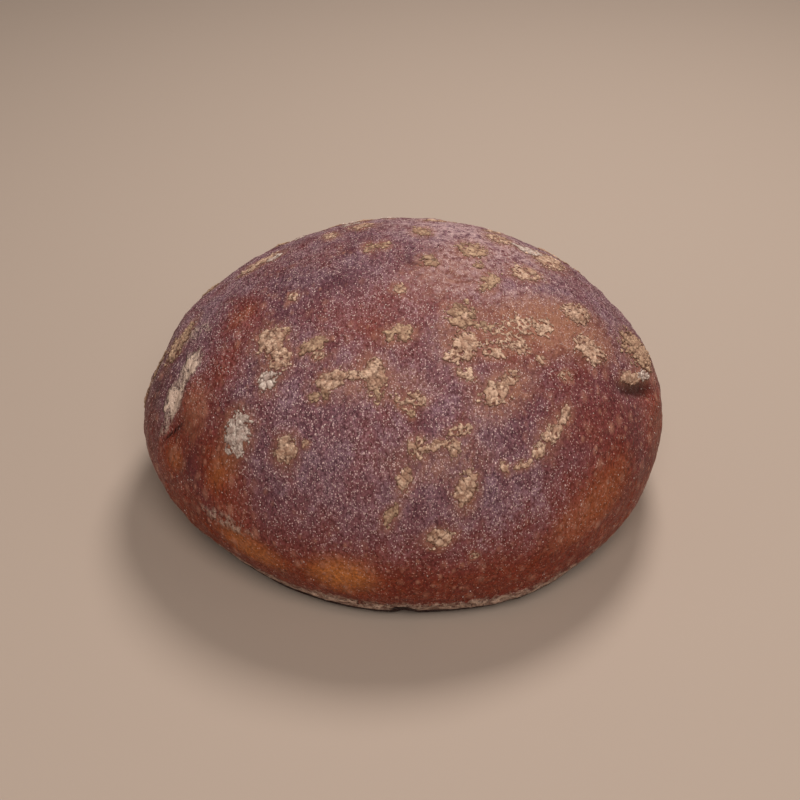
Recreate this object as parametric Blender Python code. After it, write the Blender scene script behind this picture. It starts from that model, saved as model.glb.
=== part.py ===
"""A round hearth loaf of spelt bread, whole and uncut, as one closed solid.

Units are metres and +Z is up. The loaf stands on its flat base with the origin at the middle of its
footprint. The side that faces -Y is its front. A place on the crust is given as seen from the middle of
the belly: its azimuth, in degrees round from the front towards +X, and its pitch, in degrees above the
level of the belly, so that the crown is at 90.
"""

from math import atan2, cos, exp, hypot, pi, radians, sin, sqrt, tanh
from typing import NamedTuple

import bmesh
import bpy
from mathutils import Vector, noise

MM = 0.001

# Driving sizes
WIDTH = 230 * MM
DEPTH = 222 * MM
HEIGHT = 114.5 * MM
BELLY_HEIGHT = 38 * MM  # the widest part of the loaf is this high above its base
BASE_SHARE = 0.87  # width of the base edge over the width of the belly
BELLY_POWER = 2.0  # 1 is a straight flank from the base edge to the belly, 2 a parabola
CROWN_POWER = 1.90  # 2 is a true ellipse over the belly, less is more pointed

# Where the loaf meets the surface that it stands on
EDGE_LIFT = 1.4 * MM  # the base edge curls up by this much
EDGE_REACH = 4.5 * MM  # from the flat contact out to the base edge
NOTCH_AZIMUTH = 0.0  # a short nick in the base edge, at the front
NOTCH_SPREAD = 1.6  # degrees
NOTCH_HEIGHT = 1.4 * MM

# Mesh: a cube cut into strips, bent round into the loaf
SEGMENTS = 128
SIDE_ROWS = 26
CAP_SHARE = 0.43  # of the way down from the crown, covered by the cube's square top

# Slow unevenness of hand-shaped dough
LUMP_SIZE = 46 * MM
LUMP_HEIGHT = 0.9 * MM
RIPPLE_SIZE = 17 * MM
RIPPLE_HEIGHT = 0.35 * MM
LUMP_ORIGIN = Vector((3.1, 7.4, 1.7))

CRUST_COLOUR = (0.155, 0.058, 0.038, 1.0)
CRUST_ROUGHNESS = 0.62


class Swell(NamedTuple):
    """A broad bulge, or a dent where push is negative, with an elliptical outline."""

    name: str
    azimuth: float
    pitch: float
    along: float
    across: float
    turn: float
    push: float


class Fold(NamedTuple):
    """A crease where one side of the skin stands over the other, bent like a bow."""

    name: str
    azimuth: float
    pitch: float
    length: float
    turn: float
    bow: float
    step: float
    reach: float


class Flake(NamedTuple):
    """A cake of dried flour that stands a little proud of the crust."""

    azimuth: float
    pitch: float
    along: float
    across: float
    turn: float


SWELLS = [
    Swell("left belly", -79, 0, 40 * MM, 26 * MM, 0, 2.6 * MM),
    Swell("left flank, tucked in", -36, -16, 40 * MM, 16 * MM, 0, -2.2 * MM),
    Swell("right flank, full", 27, -17, 34 * MM, 16 * MM, 0, 1.8 * MM),
    Swell("back right shoulder", 101, 22, 30 * MM, 16 * MM, 0, -1.8 * MM),
    Swell("back left shoulder", -124, 36, 26 * MM, 18 * MM, 0, -1.4 * MM),
    Swell("left shoulder", -101, 21, 14 * MM, 10 * MM, 0, 1.4 * MM),
    Swell("behind the left fold", -94, 11, 12 * MM, 9 * MM, 0, -1.6 * MM),
    Swell("back of the crown", 154, 56, 34 * MM, 20 * MM, 0, 1.2 * MM),
]
FOLDS = [
    Fold("left seam, where the dough was tucked under", -68, 19, 15 * MM, -44, 1.5 * MM, 1.2 * MM, 9 * MM),
    Fold("edge of the flap left of the seam", -61, 12.5, 9 * MM, -121, 0, -0.8 * MM, 6 * MM),
    Fold("right ledge with a hollow under it", 70, 18, 13 * MM, -35, 1 * MM, 1.3 * MM, 6 * MM),
    Fold("short crack high on the right", 74, 36, 6 * MM, -43, 0, 0.5 * MM, 4 * MM),
]
FLAKES = [
    Flake(-51, 41, 7 * MM, 5 * MM, -26),
    Flake(-42, 37, 6 * MM, 4.5 * MM, -77),
    Flake(-41, 20, 7 * MM, 5 * MM, -92),
    Flake(-28, 21.5, 5.5 * MM, 4 * MM, -91),
    Flake(-9.5, 41, 6.5 * MM, 4.5 * MM, -68),
    Flake(-1, 15.5, 9 * MM, 3 * MM, -112),
    Flake(13, 15.5, 6 * MM, 3.5 * MM, -113),
    Flake(26.5, 34, 7 * MM, 4.5 * MM, 22),
    Flake(36, 21.5, 11 * MM, 3.5 * MM, -155),
    Flake(27, 52, 9 * MM, 5 * MM, 43),
    Flake(65, 31.5, 8 * MM, 6 * MM, -81),
    Flake(78, 37, 9 * MM, 6 * MM, -43),
    Flake(81, 20, 12 * MM, 10 * MM, -4),
    Flake(106, 67, 7 * MM, 6 * MM, 0),
]
FLAKE_HEIGHT = 0.5 * MM


def flank(share):
    """Radius over the belly's radius, and height, from the base edge (0) up to the belly (1)."""
    return 1 - (1 - BASE_SHARE) * (1 - share) ** BELLY_POWER, BELLY_HEIGHT * share


def crown(angle):
    """The same from the belly (angle 0) up to the top of the loaf (angle a quarter turn)."""
    top = HEIGHT - BELLY_HEIGHT
    power = 2 / CROWN_POWER
    return max(cos(angle), 0) ** power, BELLY_HEIGHT + top * sin(angle) ** power


def walked(points):
    """Pairs each point of the meridian with its distance from the first, as a share of the whole."""
    run = [0.0]
    for (r0, z0), (r1, z1) in zip(points, points[1:]):
        run.append(run[-1] + hypot((r1 - r0) * WIDTH / 2, z1 - z0))
    return [(length / run[-1], r, z) for length, (r, z) in zip(run, points)]


STEPS = 400
MERIDIAN = walked(
    [flank(i / STEPS) for i in range(STEPS)]
    + [crown(i / STEPS * pi / 2) for i in range(STEPS + 1)]
)


def meridian(rise):
    """Radius share and height at a rise from 0 to 1, read from the walked meridian."""
    rise = min(max(rise, 0.0), 1.0)
    low, high = 0, len(MERIDIAN) - 1
    while high - low > 1:
        middle = (low + high) // 2
        if MERIDIAN[middle][0] <= rise:
            low = middle
        else:
            high = middle
    (s0, r0, z0), (s1, r1, z1) = MERIDIAN[low], MERIDIAN[high]
    t = (rise - s0) / (s1 - s0)
    return r0 + (r1 - r0) * t, z0 + (z1 - z0) * t


def rise_at(pitch):
    """The rise at which the meridian is seen under that pitch from the middle of the belly."""
    slope = sin(radians(pitch)), cos(radians(pitch))
    for rise, share, z in MERIDIAN:
        if (z - BELLY_HEIGHT) * slope[1] >= share * WIDTH / 2 * slope[0]:
            return rise
    return 1.0


def smooth_point(azimuth, rise):
    """The point at that place on the plain turned loaf, before any relief."""
    share, z = meridian(rise)
    a = radians(azimuth)
    return Vector((share * WIDTH / 2 * sin(a), -share * DEPTH / 2 * cos(a), z))


def tangent_frame(azimuth, rise):
    """Unit vectors to the right, up the crust and outwards at that place."""
    d_azimuth, d_rise = 0.5, 0.004
    rise = min(max(rise, d_rise), 1 - d_rise)
    right = smooth_point(azimuth + d_azimuth, rise) - smooth_point(azimuth - d_azimuth, rise)
    up = smooth_point(azimuth, rise + d_rise) - smooth_point(azimuth, rise - d_rise)
    right.normalize()
    up = (up - right * up.dot(right)).normalized()
    return right, up, right.cross(up)


def local_place(point, spot):
    """Distances of a point from a feature's centre, along and across its own direction."""
    right, up, out = FRAMES[spot]
    offset = point - CENTRES[spot]
    t = radians(spot.turn)
    a, b = offset.dot(right), offset.dot(up)
    return a * cos(t) + b * sin(t), b * cos(t) - a * sin(t), offset.dot(out)


def swell_height(point, swell):
    along, across, deep = local_place(point, swell)
    spread = (along / swell.along) ** 2 + (across / swell.across) ** 2
    return swell.push * exp(-spread - (deep / (2 * swell.along)) ** 2)


def fold_height(point, fold):
    along, across, deep = local_place(point, fold)
    across -= fold.bow * (along / fold.length) ** 2
    if abs(deep) > fold.length:
        return 0.0
    sharpness = 1.6 * MM
    ends = exp(-((along / fold.length) ** 4))
    return fold.step * tanh(across / sharpness) * exp(-((across / fold.reach) ** 2)) * ends


def flake_height(point, flake):
    along, across, deep = local_place(point, flake)
    spread = hypot(along / flake.along, across / flake.across)
    if abs(deep) > 0.02:
        return 0.0
    return FLAKE_HEIGHT / (1 + exp(6 * (spread - 1)))


def unevenness(point):
    """Slow lumps with smaller ripples on them."""
    lumps = noise.noise(point / LUMP_SIZE + LUMP_ORIGIN)
    ripples = noise.noise(point / RIPPLE_SIZE + LUMP_ORIGIN)
    return LUMP_HEIGHT * lumps + RIPPLE_HEIGHT * ripples


def relief(point):
    """How far the crust stands out from the plain turned loaf at that point."""
    height = unevenness(point)
    height += sum(swell_height(point, s) for s in SWELLS)
    height += sum(fold_height(point, f) for f in FOLDS)
    if FLAKES:
        height += max(flake_height(point, f) for f in FLAKES)
    return height


SPOTS = [*SWELLS, *FOLDS, *FLAKES]
CENTRES = {s: smooth_point(s.azimuth, rise_at(s.pitch)) for s in SPOTS}
FRAMES = {s: tangent_frame(s.azimuth, rise_at(s.pitch)) for s in SPOTS}


def disc_place(x, y):
    """Maps the square from -1 to 1 onto the round disc, and gives distance from the middle and azimuth."""
    u, v = x * sqrt(1 - y * y / 2), y * sqrt(1 - x * x / 2)
    return hypot(u, v), atan2(u, -v) * 180 / pi


def crust_point(azimuth, rise):
    """The finished place of a point of the crust."""
    plain = smooth_point(azimuth, rise)
    out = tangent_frame(azimuth, rise)[2] if rise < 1 else Vector((0, 0, 1))
    return plain + out * relief(plain)


def cut_cube():
    """A cube cut into rows up its sides and into a square grid over its top, open at the bottom."""
    bm = bmesh.new()
    bmesh.ops.create_cube(bm, size=2)
    uprights = [e for e in bm.edges if abs(e.verts[0].co.z - e.verts[1].co.z) > 1]
    bmesh.ops.subdivide_edges(bm, edges=uprights, cuts=SIDE_ROWS - 1, use_grid_fill=True)
    rounds = [e for e in bm.edges if abs(e.verts[0].co.z - e.verts[1].co.z) < 1e-6]
    bmesh.ops.subdivide_edges(bm, edges=rounds, cuts=SEGMENTS // 4 - 1, use_grid_fill=True)
    under = [f for f in bm.faces if all(v.co.z < -1 + 1e-6 for v in f.verts)]
    bmesh.ops.delete(bm, geom=under, context="FACES")
    return bm


def row_rise(row):
    """Rise of a row of the side, counted from the base edge, which is row 1."""
    return (1 - CAP_SHARE) * (row - 1) / (SIDE_ROWS - 1)


def loaf_place(corner):
    """Where a corner of the cut cube goes on the loaf."""
    distance, azimuth = disc_place(corner.x, corner.y)
    row = round((corner.z + 1) / 2 * SIDE_ROWS)
    if row == SIDE_ROWS:
        return crust_point(azimuth, 1 - CAP_SHARE * distance)
    if row > 0:
        point = crust_point(azimuth, row_rise(row))
        notch = NOTCH_HEIGHT * exp(-(((azimuth - NOTCH_AZIMUTH) / NOTCH_SPREAD) ** 2))
        lift = (EDGE_LIFT + notch) * exp(-point.z / (3 * EDGE_LIFT))
        return Vector((point.x, point.y, max(point.z, 0) + lift))
    edge = crust_point(azimuth, 0)
    edge.z = 0
    return edge * (1 - EDGE_REACH / edge.length)


def build_loaf():
    """The loaf's mesh: the cut cube bent round, with one flat face to stand on."""
    bm = cut_cube()
    for v in bm.verts:
        v.co = loaf_place(v.co)
    foot = [e for e in bm.edges if e.is_boundary]
    bmesh.ops.contextual_create(bm, geom=foot)
    bmesh.ops.recalc_face_normals(bm, faces=bm.faces)
    low = [min(v.co[i] for v in bm.verts) for i in range(2)]
    high = [max(v.co[i] for v in bm.verts) for i in range(2)]
    middle = Vector(((low[0] + high[0]) / 2, (low[1] + high[1]) / 2, 0))
    bmesh.ops.translate(bm, vec=-middle, verts=bm.verts)
    mesh = bpy.data.meshes.new("loaf")
    bm.to_mesh(mesh)
    bm.free()
    return mesh


def crust_material():
    """Dark, well-baked crust."""
    material = bpy.data.materials.new("crust")
    material.use_nodes = True
    shader = material.node_tree.nodes["Principled BSDF"]
    shader.inputs["Base Color"].default_value = CRUST_COLOUR
    shader.inputs["Roughness"].default_value = CRUST_ROUGHNESS
    return material


def main():
    for thing in list(bpy.data.objects):
        bpy.data.objects.remove(thing)
    mesh = build_loaf()
    mesh.materials.append(crust_material())
    mesh.shade_smooth()
    loaf = bpy.data.objects.new("loaf", mesh)
    bpy.context.scene.collection.objects.link(loaf)


main()
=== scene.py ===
"""A round hearth loaf of dark spelt bread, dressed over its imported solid.

The crust is a finer copy of the solid. On it lie cakes of dried, cracked flour, loose crumbs of flour and,
in the crust's own finish, a fine dusting. A place on the loaf is given as it is seen from the middle of
the belly: an azimuth in degrees round from the front towards +X, and a pitch in degrees above the belly.
"""

import logging
import math
import random
from dataclasses import dataclass
from enum import Enum
from typing import Any

import bmesh
import bpy
import numpy as np
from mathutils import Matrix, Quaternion, Vector, noise
from mathutils.bvhtree import BVHTree


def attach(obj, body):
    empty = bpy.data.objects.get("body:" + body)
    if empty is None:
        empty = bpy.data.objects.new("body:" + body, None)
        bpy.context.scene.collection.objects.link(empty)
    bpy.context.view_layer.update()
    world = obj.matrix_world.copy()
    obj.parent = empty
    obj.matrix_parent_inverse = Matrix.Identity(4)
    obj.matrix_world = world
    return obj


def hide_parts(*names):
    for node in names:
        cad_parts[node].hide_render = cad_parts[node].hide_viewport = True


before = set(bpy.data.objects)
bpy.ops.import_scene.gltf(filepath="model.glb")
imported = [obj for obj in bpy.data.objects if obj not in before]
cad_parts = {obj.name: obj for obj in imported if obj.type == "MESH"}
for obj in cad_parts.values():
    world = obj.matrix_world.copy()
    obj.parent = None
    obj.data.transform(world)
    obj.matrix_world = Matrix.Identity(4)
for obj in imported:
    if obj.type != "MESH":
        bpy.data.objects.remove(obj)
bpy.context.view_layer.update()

MM = 0.001
BELLY_HEIGHT = 38 * MM
DEPTH_OVER_WIDTH = 222 / 230
NEIGHBOUR_DEGREES = 3
# large odd factors turn a place in the noise into an even chance
SCRAMBLE_X = 12.9898
SCRAMBLE_Y = 78.233
SCRAMBLE = 43.758
TIMES = {"operation": "MULTIPLY"}
LARGER = {"operation": "MAXIMUM"}

log = logging.getLogger("loaf")


def linear(hex_colour: str) -> tuple[float, float, float, float]:
    """Turns an sRGB hex colour into a linear one.

    Args:
        hex_colour: The colour as "#rrggbb".

    Returns:
        Red, green, blue and an alpha of 1, in linear light.
    """
    parts = [int(hex_colour[i : i + 2], 16) / 255 for i in (1, 3, 5)]
    flat = [p / 12.92 if p <= 0.04045 else ((p + 0.055) / 1.055) ** 2.4 for p in parts]
    return flat[0], flat[1], flat[2], 1.0


def add_node(
    tree: bpy.types.NodeTree, kind: str, settings: dict[Any, Any], links: dict[Any, Any]
) -> bpy.types.Node:
    """Adds one node with its settings and links.

    Args:
        tree: The material's node tree.
        kind: The shader node's type without its common beginning.
        settings: Values by input name or number, or by the node's own property.
        links: Output sockets by input name or number.

    Returns:
        The new node.
    """
    node = tree.nodes.new("ShaderNode" + kind)
    for key, value in settings.items():
        if isinstance(key, str) and key not in node.inputs:
            setattr(node, key, value)
    for key, value in settings.items():
        if not isinstance(key, str) or key in node.inputs:
            node.inputs[key].default_value = value
    for key, source in links.items():
        tree.links.new(source, node.inputs[key])
    return node


def per_mm(size_mm: float) -> float:
    """A pattern's scale on Object coordinates, for one repeat in that many millimetres."""
    return 1 / (size_mm * MM)


def deselect() -> None:
    """Leaves edit mode and deselects everything."""
    if bpy.context.mode != "OBJECT":
        bpy.ops.object.mode_set(mode="OBJECT")
    bpy.ops.object.select_all(action="DESELECT")


def pick(thing: bpy.types.Object) -> None:
    """Selects one object alone and makes it active.

    Args:
        thing: The object.
    """
    deselect()
    thing.select_set(True)
    bpy.context.view_layer.objects.active = thing


@dataclass(frozen=True)
class Place:
    """A place on the loaf as seen from the middle of its belly, in degrees."""

    azimuth: float
    pitch: float

    def direction(self) -> Vector:
        """The way to look from the middle of the belly to see this place."""
        a, p = math.radians(self.azimuth), math.radians(self.pitch)
        return Vector((math.sin(a) * math.cos(p), -DEPTH_OVER_WIDTH * math.cos(a) * math.cos(p), math.sin(p)))


@dataclass(frozen=True)
class Spot:
    """Something long or round on the loaf: its middle in degrees, its full size in mm and its turn."""

    name: str
    azimuth: float
    pitch: float
    length: float
    width: float
    turn: float

    @property
    def place(self) -> Place:
        """The place of its middle."""
        return Place(self.azimuth, self.pitch)


@dataclass(frozen=True)
class Patch(Spot):
    """A patch of the crust that has an amount of something, less and less towards its rim."""

    amount: float = 1.0


class Skin:
    """The surface of a closed mesh, for seating things on it."""

    def __init__(self, thing: bpy.types.Object) -> None:
        """Reads the object's mesh.

        Args:
            thing: The object.
        """
        mesh = thing.data
        corners = [v.co.copy() for v in mesh.vertices]
        self.tree = BVHTree.FromPolygons(corners, [tuple(p.vertices) for p in mesh.polygons])

    def at(self, place: Place) -> tuple[Vector, Vector]:
        """The point of the surface at a place, and the way out of it.

        Args:
            place: Where to look from the middle of the belly.

        Returns:
            The point and the outward normal.
        """
        middle = Vector((0, 0, BELLY_HEIGHT))
        point, normal, _, _ = self.tree.ray_cast(middle, place.direction())
        return point, normal if normal.dot(place.direction()) > 0 else -normal

    def near(self, point: Vector) -> tuple[Vector, Vector]:
        """The nearest point of the surface and the way out of it."""
        found, normal, _, _ = self.tree.find_nearest(point)
        return found, normal

    def axes(self, place: Place, turn: float) -> tuple[Vector, Vector, Vector, Vector]:
        """The middle of a place with its directions.

        Args:
            place: The place.
            turn: Degrees from level, rightwards to upwards as seen from outside.

        Returns:
            The point, and unit vectors along, across and outwards.
        """
        point, _ = self.at(place)
        steps = (-NEIGHBOUR_DEGREES, NEIGHBOUR_DEGREES)
        around = [Place(place.azimuth + a, place.pitch + p) for a in steps for p in steps]
        out = sum((self.at(neighbour)[1] for neighbour in around), Vector())
        out.normalize()
        level = Vector((0, 0, 1)).cross(out).normalized()
        upward = out.cross(level)
        t = math.radians(turn)
        along = level * math.cos(t) + upward * math.sin(t)
        across = upward * math.cos(t) - level * math.sin(t)
        return point, along, across, out


class FlourTone(Enum):
    """Kinds of dried flour on the crust."""

    TAN = "toasted"
    OCHRE = "ochre"
    PALE = "pale"


TAN, OCHRE, PALE = FlourTone


@dataclass(frozen=True)
class BakedCrust:
    """Baked spelt crust: matt maroon to plum under a dust of rye flour, russet and a little glossy below.

    The dust shows as a dense, fine, pinkish speckle, the bare crust as a warm, smooth, uneven brown; painted
    shade darkens its creases, pores and foot, and its crown has a painted sheen.
    """

    maroon: str = "#5f241f"
    plum: str = "#552e37"
    russet: str = "#823115"
    # tawny: warm tone and painted highlight on the clump tops
    tawny: str = "#ae5e34"
    amber: str = "#ba6e36"
    rosy: str = "#a67274"
    mauve: str = "#9d777e"
    # paler dust on the crown, brightened as a painted sheen
    frost_and_sheen: str = "#bd9693"
    dust: str = "#f0c8bd"
    salmon: str = "#c98a70"
    blister: str = "#bb8068"
    film: str = "#9c6750"
    chalk: str = "#dcbba5"
    # painted shade: the colour of creases, recesses and the foot's lower edge where shadow falls
    hollow: str = "#34120c"
    blotch_mm: float = 26.0
    patch_mm: float = 8.0
    clump_mm: float = 2.2
    pore_mm: float = 0.9
    flatness: float = 0.7
    depth_share: float = 0.62
    streak_mm: float = 1.7
    drawn: float = 0.7
    coarse_dot_mm: float = 0.9
    fine_dot_mm: float = 0.5
    lone_dot_mm: float = 2.3
    blister_mm: float = 5.2
    bead_mm: float = 2.8
    roughness_bare: float = 0.42
    roughness_dusty: float = 0.52
    specular: float = 0.17
    ior: float = 1.45
    cloud_detail: float = 3.0
    cloud_roughness: float = 0.6
    thin_dust: float = 0.08
    plum_share: float = 0.9
    fleck_and_glint_share: float = 0.3
    # painted shade: how dark the pores get and how light the tops between them
    pore_dark: float = 0.58
    pore_light: float = 1.42
    thinnest_heap: float = 0.25
    blister_strength: float = 0.6
    bead_strength: float = 0.65
    blister_rim: float = 0.42
    blister_top: float = 0.12

    def build(self) -> bpy.types.Material:
        """Makes the material.

        Returns:
            The crust's material, which reads the attributes that Crust.paint writes.
        """
        material = bpy.data.materials.new("baked spelt crust, flour dusted")
        material.use_nodes = True
        tree = material.node_tree
        shader = tree.nodes["Principled BSDF"]
        shader.inputs["IOR"].default_value = self.ior
        shader.inputs["Specular IOR Level"].default_value = self.specular
        place = add_node(tree, "TexCoord", {}, {}).outputs["Object"]
        # the loaf rises as it bakes and draws its skin upwards, so every pattern is a little taller than wide
        taller = {"Scale": (1, self.depth_share, self.flatness)}
        place = add_node(tree, "Mapping", taller, {"Vector": place}).outputs[0]
        # the dust on the crown, with its painted sheen, lies in short streaks, from side to side
        drawn = add_node(tree, "Mapping", {"Scale": (self.drawn, 1, 1)}, {"Vector": place}).outputs[0]
        clouds = {}
        for name, size, where in (
            ("blotch", self.blotch_mm, place),
            ("patch", self.patch_mm, place),
            ("clump", self.clump_mm, place),
            ("pore", self.pore_mm, place),
            ("streak", self.streak_mm, drawn),
        ):
            look = {"Scale": per_mm(size), "Detail": self.cloud_detail, "Roughness": self.cloud_roughness}
            clouds[name] = add_node(tree, "TexNoise", look, {"Vector": where}).outputs[0]
        shares = self.shares(tree, clouds)
        colour = self.bare(tree, clouds, shares)
        grains = self.grains(tree, place, clouds, shares)
        # a thin dust shows as grains alone, a thicker one as a haze too
        veil = add_node(tree, "MapRange", {"From Min": self.thin_dust}, {"Value": shares["dust"]}).outputs[0]
        # a row is a cloud, the range of it over which the haze thickens, and the least haze that it leaves
        for cloud, low, high, least in (
            ("patch", 0.36, 0.60, 0.75),
            ("clump", 0.38, 0.62, 0.55),
            ("pore", 0.38, 0.62, 0.20),
        ):
            span = {"From Min": low, "From Max": high, "To Min": least}
            heaped = add_node(tree, "MapRange", span, {"Value": clouds[cloud]}).outputs[0]
            veil = add_node(tree, "Math", TIMES, {0: veil, 1: heaped}).outputs[0]
        # a row is a tint, what it follows over which range, and its two colours
        tints = {}
        for name, source, low, high, one, other in (
            ("haze", clouds["patch"], 0.40, 0.60, self.rosy, self.mauve),
            ("dots", shares["dust"], 0.05, 0.45, self.salmon, self.dust),
        ):
            span = {"From Min": low, "From Max": high}
            share = add_node(tree, "MapRange", span, {"Value": source}).outputs[0]
            ends = {"data_type": "RGBA", 6: linear(one), 7: linear(other)}
            tints[name] = add_node(tree, "Mix", ends, {0: share}).outputs[2]
        blisters = self.blisters(tree, place, shares["dust"])
        # a row is a share of the crust and what it is tinted with, from the lowest layer up
        for share, flat, mixed in (
            (veil, {}, {7: tints["haze"]}),
            # pale streaks on the crown: dust and painted sheen
            (shares["frost_and_sheen"], {7: linear(self.frost_and_sheen)}, {}),
            (shares["film"], {7: linear(self.film)}, {}),
            (blisters, {7: linear(self.blister)}, {}),
            (grains, {}, {7: tints["dots"]}),
            (shares["chalk"], {7: linear(self.chalk)}, {}),
            # painted shade in creases, recesses, the notch and along the foot
            (shares["hollow"], {7: linear(self.hollow)}, {}),
        ):
            settings = {"data_type": "RGBA", **flat}
            colour = add_node(tree, "Mix", settings, {0: share, 6: colour, **mixed}).outputs[2]
        tree.links.new(colour, shader.inputs["Base Color"])
        floury = shares["dust"]
        for other in (grains, shares["chalk"], shares["film"]):
            floury = add_node(tree, "Math", LARGER, {0: floury, 1: other}).outputs[0]
        span = {"To Min": self.roughness_bare, "To Max": self.roughness_dusty}
        rough = add_node(tree, "MapRange", span, {"Value": floury}).outputs[0]
        tree.links.new(rough, shader.inputs["Roughness"])
        # the relief: clumps, pores, blisters and grains, each with its height in mm
        normal = None
        for height, reach in (
            (clouds["clump"], 1.1),
            (clouds["pore"], 0.6),
            (blisters, 0.4),
            (grains, 0.14),
            (shares["chalk"], 1.1),
        ):
            links = {"Height": height} if normal is None else {"Height": height, "Normal": normal}
            normal = add_node(tree, "Bump", {"Strength": 1.0, "Distance": reach * MM}, links).outputs[0]
        tree.links.new(normal, shader.inputs["Normal"])
        return material

    def shares(self, tree: bpy.types.NodeTree, clouds: dict[str, Any]) -> dict[str, Any]:
        """Breaks the smooth amounts on the mesh up by the clouds.

        Args:
            tree: The material's node tree.
            clouds: The noise sockets by name.

        Returns:
            A ragged share from 0 to 1 for each attribute.
        """
        shares = {}
        # a row is an attribute, the cloud that breaks it up and how strongly, and the range that shows
        for name, cloud, gain, low, high in (
            ("dust", "patch", 2.2, 0.0, 1.0),
            ("warm", "patch", 1.2, 0.0, 1.0),
            ("amber", "clump", 0.9, 0.1, 1.0),
            ("film", "clump", 2.0, 0.20, 0.95),
            # the crown's pale streaks, dust with painted sheen
            ("frost_and_sheen", "streak", 6.0, 0.45, 1.9),
            ("chalk", "clump", 2.6, 0.36, 0.85),
            # painted shade, broken up a little by the clumps
            ("hollow", "clump", 0.6, 0.30, 0.80),
        ):
            amount = add_node(tree, "Attribute", {"attribute_name": name}, {}).outputs["Fac"]
            scaled = {"operation": "MULTIPLY_ADD", 1: gain, 2: 1 - gain / 2}
            uneven = add_node(tree, "Math", scaled, {0: clouds[cloud]}).outputs[0]
            uneven = add_node(tree, "Math", TIMES, {0: uneven, 1: amount}).outputs[0]
            span = {"From Min": low, "From Max": high}
            shares[name] = add_node(tree, "MapRange", span, {"Value": uneven}).outputs[0]
        return shares

    def bare(self, tree: bpy.types.NodeTree, clouds: dict[str, Any], shares: dict[str, Any]) -> Any:
        """The crust without its dust: maroon and plum in slow blotches, russet where warm, amber where thin,
        darker in its pores as painted shade, tawny on its clump tops as tone and painted highlight.

        Args:
            tree: The material's node tree.
            clouds: The noise sockets by name.
            shares: The ragged shares by name.

        Returns:
            The colour socket.
        """
        # a row is the range of a cloud, and the most that it gives
        spots = {}
        for name, cloud, low, high, most in (
            ("plum", "blotch", 0.36, 0.54, self.plum_share),
            ("fleck_and_glint", "clump", 0.48, 0.68, self.fleck_and_glint_share),
        ):
            span = {"From Min": low, "From Max": high, "To Max": most}
            spots[name] = add_node(tree, "MapRange", span, {"Value": clouds[cloud]}).outputs[0]
        # tawny spots on the clump tops of the warm crust: its own tone and a painted highlight
        fleck_and_glint = add_node(tree, "Math", TIMES, {0: spots["fleck_and_glint"], 1: shares["warm"]}).outputs[0]
        ends = {"data_type": "RGBA", 6: linear(self.maroon), 7: linear(self.plum)}
        colour = add_node(tree, "Mix", ends, {0: spots["plum"]}).outputs[2]
        for share, tint in (
            (shares["warm"], self.russet),
            (fleck_and_glint, self.tawny),
            (shares["amber"], self.amber),
        ):
            settings = {"data_type": "RGBA", 7: linear(tint)}
            colour = add_node(tree, "Mix", settings, {0: share, 6: colour}).outputs[2]
        # painted shade: darker in the pores, lighter on the tops that the same cloud raises in the relief
        span = {"From Min": 0.3, "From Max": 0.7, "To Min": self.pore_dark, "To Max": self.pore_light}
        shade = add_node(tree, "MapRange", span, {"Value": clouds["pore"]}).outputs[0]
        shaded = {"data_type": "RGBA", "blend_type": "MULTIPLY", 0: 1.0}
        return add_node(tree, "Mix", shaded, {6: colour, 7: shade}).outputs[2]

    def grains(
        self, tree: bpy.types.NodeTree, place: Any, clouds: dict[str, Any], shares: dict[str, Any]
    ) -> Any:
        """The grains of flour that show singly: a dense fine speckle in the dust, and a few larger dots.

        A real grain is under 0.1 mm and too fine to show, so a dot stands for a small heap of them.

        Args:
            tree: The material's node tree.
            place: The coordinate socket.
            clouds: The noise sockets by name.
            shares: The ragged shares by name.

        Returns:
            A socket with the share of grains, from 0 to 1.
        """
        span = {"From Min": 0.35, "From Max": 0.65, "To Min": self.thinnest_heap}
        heaped = add_node(tree, "MapRange", span, {"Value": clouds["clump"]}).outputs[0]
        dense = add_node(tree, "Math", TIMES, {0: heaped, 1: shares["dust"]}).outputs[0]
        dense = add_node(tree, "Math", LARGER, {0: dense, 1: shares["frost_and_sheen"]}).outputs[0]
        total = None
        # a row is the cell and the radius of a dot in it, how many cells have one with no dust and how many
        # more with dust, and how faint the faintest is
        for size, radius, base, gain, faint in (
            (self.fine_dot_mm, 0.52, 0.12, 0.56, 0.10),
            (self.coarse_dot_mm, 0.33, 0.05, 0.24, 0.35),
            (self.lone_dot_mm, 0.17, 0.32, 0.12, 0.32),
        ):
            cells = add_node(tree, "TexVoronoi", {"Scale": per_mm(size)}, {"Vector": place})
            chances = add_node(tree, "SeparateColor", {}, {0: cells.outputs["Color"]})
            span = {"From Min": radius, "From Max": radius / 2}
            dot = add_node(tree, "MapRange", span, {"Value": cells.outputs["Distance"]}).outputs[0]
            scaled = {"operation": "MULTIPLY_ADD", 1: gain, 2: base}
            share = add_node(tree, "Math", scaled, {0: dense}).outputs[0]
            more = {"operation": "GREATER_THAN"}
            there = add_node(tree, "Math", more, {0: share, 1: chances.outputs[0]}).outputs[0]
            bright = add_node(tree, "MapRange", {"To Min": faint}, {"Value": chances.outputs[1]}).outputs[0]
            for factor in (there, bright):
                dot = add_node(tree, "Math", TIMES, {0: dot, 1: factor}).outputs[0]
            if total is not None:
                dot = add_node(tree, "Math", LARGER, {0: total, 1: dot}).outputs[0]
            total = dot
        return total

    def blisters(self, tree: bpy.types.NodeTree, place: Any, dust: Any) -> Any:
        """Soft pale blisters where the crust is bare.

        Args:
            tree: The material's node tree.
            place: The coordinate socket.
            dust: The share of dust.

        Returns:
            A socket with the share of blister, from 0 to 1.
        """
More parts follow.
